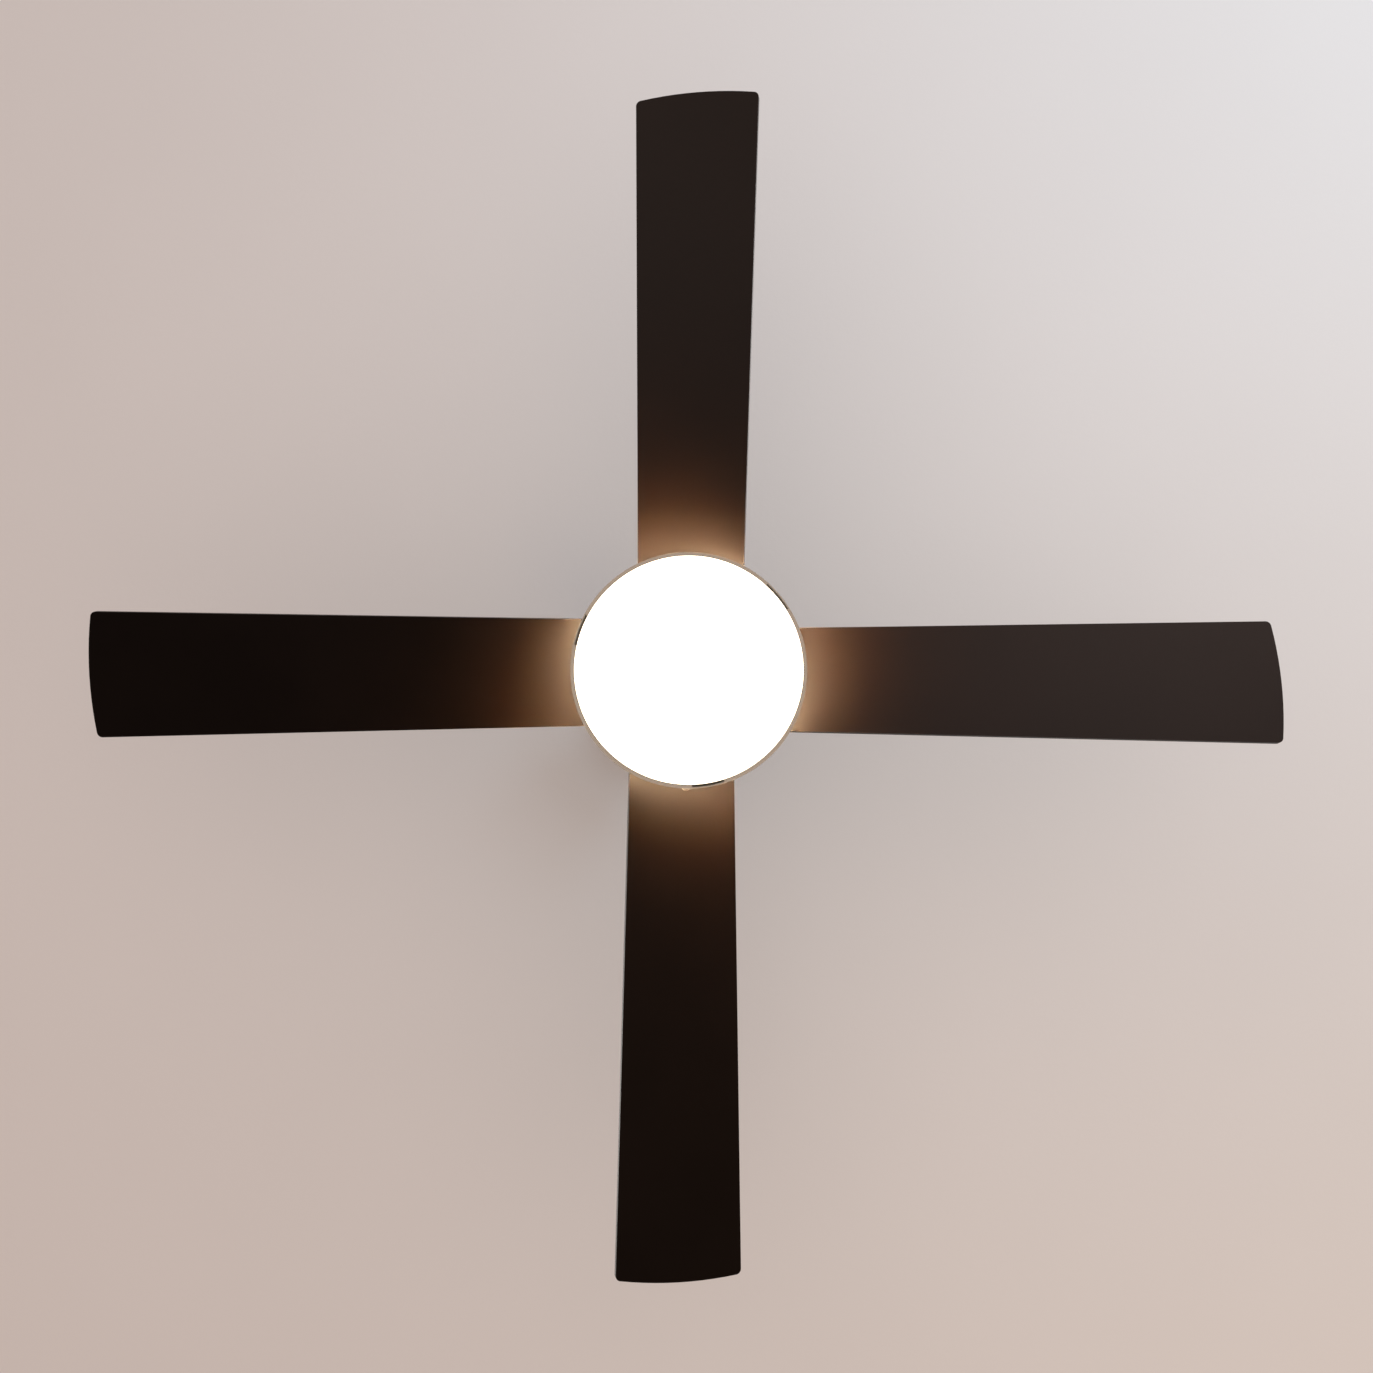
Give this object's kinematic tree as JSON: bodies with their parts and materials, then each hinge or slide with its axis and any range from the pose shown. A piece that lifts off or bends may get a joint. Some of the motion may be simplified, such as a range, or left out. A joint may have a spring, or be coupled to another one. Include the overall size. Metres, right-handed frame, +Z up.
{
  "type": "ceiling fan with light",
  "caption": "Ceiling fan with flat pitched matte black blades and a round opal light under the motor, hung from a ceiling bracket on a downrod with a swivelling ball.",
  "frame": {"origin": "centre of the ceiling bracket's top face, where it meets the ceiling", "axes": "+Z up into the ceiling, with the fan hanging towards -Z; +X along blade 1; +Y along blade 2"},
  "size_m": [1.3199, 1.3201, 0.4073],
  "materials": {
    "black_paint": "matte",
    "blade_black": "matte",
    "zinc_plate": "satin",
    "bright_steel": "satin",
    "bearing_steel": "polished",
    "black_oxide": "satin",
    "ball_plastic": "matte",
    "white_nylon": "satin",
    "receiver_plastic": "matte",
    "driver_plastic": "satin",
    "circuit_green": "satin",
    "circuit_white": "satin",
    "earth_green": "satin",
    "copper_wire": "enamelled",
    "core_steel": "matte",
    "magnet_nickel": "satin",
    "cast_aluminium": "cast",
    "sheet_aluminium": "satin",
    "wire_jacket": "satin",
    "led_phosphor": "gloss",
    "opal_lens": "satin"
  },
  "bodies": {
    "ceiling_mount": {"hanger_bracket": "zinc_plate", "ball_liner": "white_nylon", "earth_screw": "earth_green", "canopy": "black_paint", "canopy_screws": "black_paint", "receiver_case": "receiver_plastic", "receiver_board": "circuit_green", "terminal_block": "white_nylon", "fan_lead": "wire_jacket"},
    "hanging": {"hanger_ball": "ball_plastic", "cross_pin": "bright_steel", "ball_set_screw": "black_oxide", "downrod": "black_paint", "wiring_loom": "wire_jacket", "coupling_cone": "black_paint", "motor_coupling": "zinc_plate", "clevis_pin": "bright_steel", "hairpin_clip": "bright_steel", "coupling_set_screws": "black_oxide", "motor_cover": "black_paint", "cover_screws": "zinc_plate", "motor_shaft": "bright_steel", "shaft_circlips": "black_oxide", "bearing_inner_rings": "bearing_steel", "stator_hub": "cast_aluminium", "stator_core": "core_steel", "stator_windings": "copper_wire", "sensor_board": "circuit_green", "light_plate": "zinc_plate", "shaft_nuts": "bright_steel", "light_neck": "black_paint", "neck_screws": "black_paint", "light_pan": "black_paint", "pan_screws": "zinc_plate", "led_driver": "driver_plastic", "led_tray": "sheet_aluminium", "tray_screws": "zinc_plate", "led_board": "circuit_white", "led_chips": "led_phosphor", "trim_ring": "black_paint"},
    "rotor": {"bearing_outer_rings": "bearing_steel", "bearing_balls": "bearing_steel", "rotor_top": "cast_aluminium", "rotor_bottom": "cast_aluminium", "rotor_screws": "black_oxide", "magnet_ring": "core_steel", "rotor_magnets": "magnet_nickel", "blade_holder_1": "black_paint", "blade_holder_2": "black_paint", "blade_holder_3": "black_paint", "blade_holder_4": "black_paint", "holder_screws": "zinc_plate", "blade_1": "blade_black", "blade_2": "blade_black", "blade_3": "blade_black", "blade_4": "blade_black", "blade_screws": "black_paint", "blade_washers": "black_oxide"},
    "diffuser": {"diffuser": "opal_lens"}
  },
  "joints": [
    {"name": "hanger_swing", "type": "hinge", "parent": "ceiling_mount", "child": "hanging", "pos_m": [0, 0, -0.051], "axis": [0, 1, 0], "range_deg": [-15, 15], "deforming": ["fan_lead"]},
    {"name": "rotor_spin", "type": "hinge", "parent": "hanging", "child": "rotor", "pos_m": [0, 0, -0.2435], "axis": [0, 0, 1], "continuous": true},
    {"name": "diffuser_twist", "type": "hinge", "parent": "hanging", "child": "diffuser", "pos_m": [0, 0, -0.3795], "axis": [0, 0, 1], "range_deg": [0, 20]}
  ]
}
